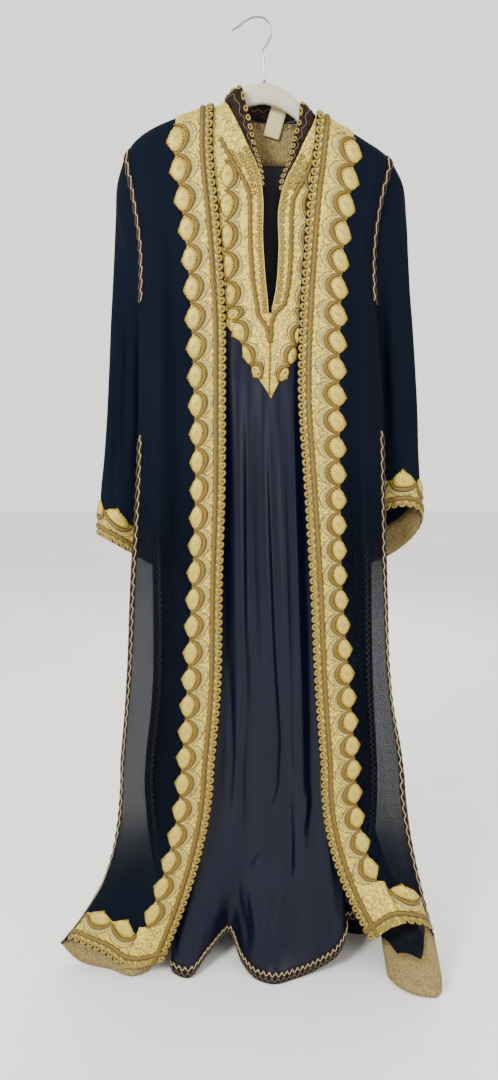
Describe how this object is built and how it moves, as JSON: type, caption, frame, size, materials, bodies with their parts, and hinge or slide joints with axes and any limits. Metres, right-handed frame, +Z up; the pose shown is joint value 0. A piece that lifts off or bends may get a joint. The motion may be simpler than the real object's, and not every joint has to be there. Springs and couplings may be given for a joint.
{
  "type": "moroccan kaftan on hanger",
  "caption": "Floor-length two-layer kaftan on a moulded hanger: open sheer robe with gold scalloped bands over a satin dress with a slit neck.",
  "frame": {"origin": "inside top of the hanger's hook, where it hangs", "axes": "+Z up along the hang, front of the garment faces -Y, the wearer's right side is at -X"},
  "size_m": [0.627, 0.2332, 1.5063],
  "materials": {
    "satin": "satin",
    "chiffon": "sheer matte",
    "lined_chiffon": "matte",
    "gold_embroidery": "metallic thread",
    "gold_reverse": "dull thread",
    "collar_band": "corded",
    "dark_braid": "corded",
    "label_tape": "matte",
    "hanger_plastic": "matte",
    "hook_chrome": "polished"
  },
  "bodies": {
    "root": {"hanger_bar": "hanger_plastic", "hanger_hook": "hook_chrome", "dress_front": "satin", "dress_back": "satin", "dress_yoke": "gold_embroidery", "dress_back_yoke": "gold_reverse", "dress_collar": "collar_band", "neck_label": "label_tape", "dress_hem_trim_front": "dark_braid", "dress_hem_trim_back": "dark_braid", "dress_side_trim_right": "dark_braid", "dress_side_trim_left": "dark_braid", "robe_front_right": "chiffon", "robe_front_left": "chiffon", "robe_back": "chiffon", "robe_front_band_right": "gold_embroidery", "robe_front_band_left": "gold_embroidery", "robe_front_hem_band_right": "gold_embroidery", "robe_front_hem_band_left": "gold_embroidery", "robe_back_hem_band": "gold_embroidery", "robe_sleeve_right": "lined_chiffon", "robe_sleeve_left": "lined_chiffon", "robe_cuff_band_right": "gold_embroidery", "robe_cuff_band_left": "gold_embroidery", "robe_armhole_trim_right": "dark_braid", "robe_armhole_trim_left": "dark_braid", "robe_side_trim_right": "dark_braid", "robe_side_trim_left": "dark_braid"}
  },
  "joints": []
}
